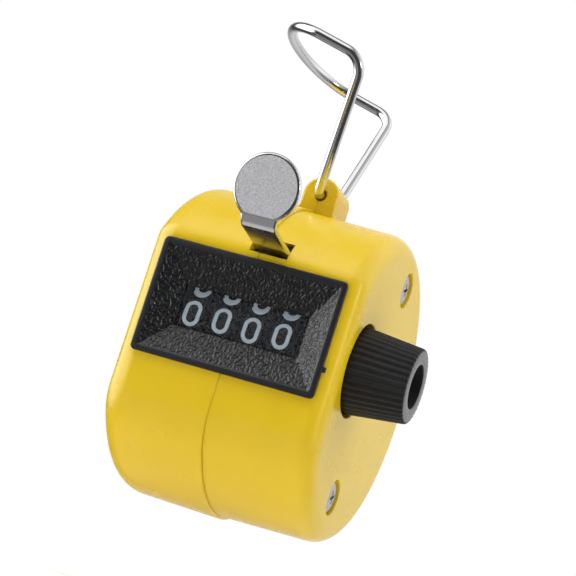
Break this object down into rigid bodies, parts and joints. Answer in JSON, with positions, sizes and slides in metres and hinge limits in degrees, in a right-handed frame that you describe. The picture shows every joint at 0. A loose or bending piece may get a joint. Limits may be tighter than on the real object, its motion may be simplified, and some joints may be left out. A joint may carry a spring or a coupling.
{
  "type": "hand tally counter",
  "caption": "Hand-held mechanical tally counter: drum case, number wheels behind a window, thumb lever, reset knob and wire finger ring.",
  "frame": {"origin": "centre of the flat left end, on the drum's axis", "axes": "+X along the drum's axis towards the reset knob, -Y out of the display window, +Z towards the finger-ring lug"},
  "size_m": [0.039, 0.0513, 0.0699],
  "materials": {
    "yellow_abs": "glossy moulded ABS",
    "black_textured": "coarse leather-like moulded grain",
    "clear_lens": "clear polished plastic",
    "black_wheel": "glossy black with white numerals",
    "black_knob": "satin moulded plastic with straight ribs",
    "white_nylon": "natural nylon",
    "nickel_plate": "nickel plated, sandblasted face with polished bevel",
    "chrome_wire": "bright plated round wire",
    "plated_steel": "zinc plated",
    "bright_steel": "ground bright steel",
    "spring_steel": "spring steel"
  },
  "bodies": {
    "case": {"left_case": "yellow_abs", "right_case": "yellow_abs", "case_screw_upper": "plated_steel", "case_screw_lower": "plated_steel", "display_bezel": "black_textured", "window_lens": "clear_lens", "frame_left_plate": "plated_steel", "frame_right_plate": "plated_steel", "frame_tie_rod_upper": "plated_steel", "frame_tie_rod_lower": "plated_steel", "pinion_shaft": "bright_steel", "lever_pivot_pin": "bright_steel", "left_spacer": "white_nylon", "right_spacer": "white_nylon", "detent_spring": "spring_steel"},
    "lever": {"thumb_lever": "nickel_plate", "pawl_pin": "bright_steel", "lever_return_spring": "spring_steel", "pawl_spring": "spring_steel"},
    "pawl": {"drive_pawl": "spring_steel"},
    "knob": {"reset_knob": "black_knob", "main_shaft": "bright_steel", "shaft_clip": "spring_steel"},
    "ring": {"finger_ring": "chrome_wire"},
    "units": {"units_wheel": "black_wheel", "units_reset_pawl": "spring_steel", "ratchet_wheel": "white_nylon"},
    "tens": {"tens_wheel": "black_wheel", "tens_reset_pawl": "spring_steel"},
    "hundreds": {"hundreds_wheel": "black_wheel", "hundreds_reset_pawl": "spring_steel"},
    "thousands": {"thousands_wheel": "black_wheel", "thousands_reset_pawl": "spring_steel"},
    "tens_pinion": {"tens_carry_pinion": "white_nylon"},
    "hundreds_pinion": {"hundreds_carry_pinion": "white_nylon"},
    "thousands_pinion": {"thousands_carry_pinion": "white_nylon"}
  },
  "joints": [
    {"name": "lever_press", "type": "hinge", "parent": "case", "child": "lever", "pos_m": [0.017, -0.0142, -0.011], "axis": [-1, 0, 0], "range_deg": [0, 7], "deforming": ["lever_return_spring", "pawl_spring"]},
    {"name": "pawl_lift", "type": "hinge", "parent": "lever", "child": "pawl", "pos_m": [0.0234, -0.0151, 0.0076], "axis": [1, 0, 0], "range_deg": [0, 22]},
    {"name": "knob_turn", "type": "hinge", "parent": "case", "child": "knob", "pos_m": [0.0336, -0.0093, 0.0013], "axis": [1, 0, 0], "continuous": true},
    {"name": "ring_swing", "type": "hinge", "parent": "case", "child": "ring", "pos_m": [0.0156, 0.0024, 0.0251], "axis": [0, 1, 0], "range_deg": [-85, 88]},
    {"name": "units_spin", "type": "hinge", "parent": "case", "child": "units", "pos_m": [0.0156, -0.0093, 0.0013], "axis": [1, 0, 0], "continuous": true},
    {"name": "tens_spin", "type": "hinge", "parent": "case", "child": "tens", "pos_m": [0.0156, -0.0093, 0.0013], "axis": [1, 0, 0], "continuous": true},
    {"name": "hundreds_spin", "type": "hinge", "parent": "case", "child": "hundreds", "pos_m": [0.0156, -0.0093, 0.0013], "axis": [1, 0, 0], "continuous": true},
    {"name": "thousands_spin", "type": "hinge", "parent": "case", "child": "thousands", "pos_m": [0.0156, -0.0093, 0.0013], "axis": [1, 0, 0], "continuous": true},
    {"name": "tens_pinion_spin", "type": "hinge", "parent": "case", "child": "tens_pinion", "pos_m": [0.0156, -0.00426, -0.00542], "axis": [1, 0, 0], "continuous": true},
    {"name": "hundreds_pinion_spin", "type": "hinge", "parent": "case", "child": "hundreds_pinion", "pos_m": [0.0156, -0.00426, -0.00542], "axis": [1, 0, 0], "continuous": true},
    {"name": "thousands_pinion_spin", "type": "hinge", "parent": "case", "child": "thousands_pinion", "pos_m": [0.0156, -0.00426, -0.00542], "axis": [1, 0, 0], "continuous": true}
  ],
  "couplings": [
    {"joint": "pawl_lift", "follows": "lever_press", "ratio": 3},
    {"joint": "tens_pinion_spin", "follows": "tens_spin", "ratio": -2.5},
    {"joint": "hundreds_pinion_spin", "follows": "hundreds_spin", "ratio": -2.5},
    {"joint": "thousands_pinion_spin", "follows": "thousands_spin", "ratio": -2.5}
  ]
}
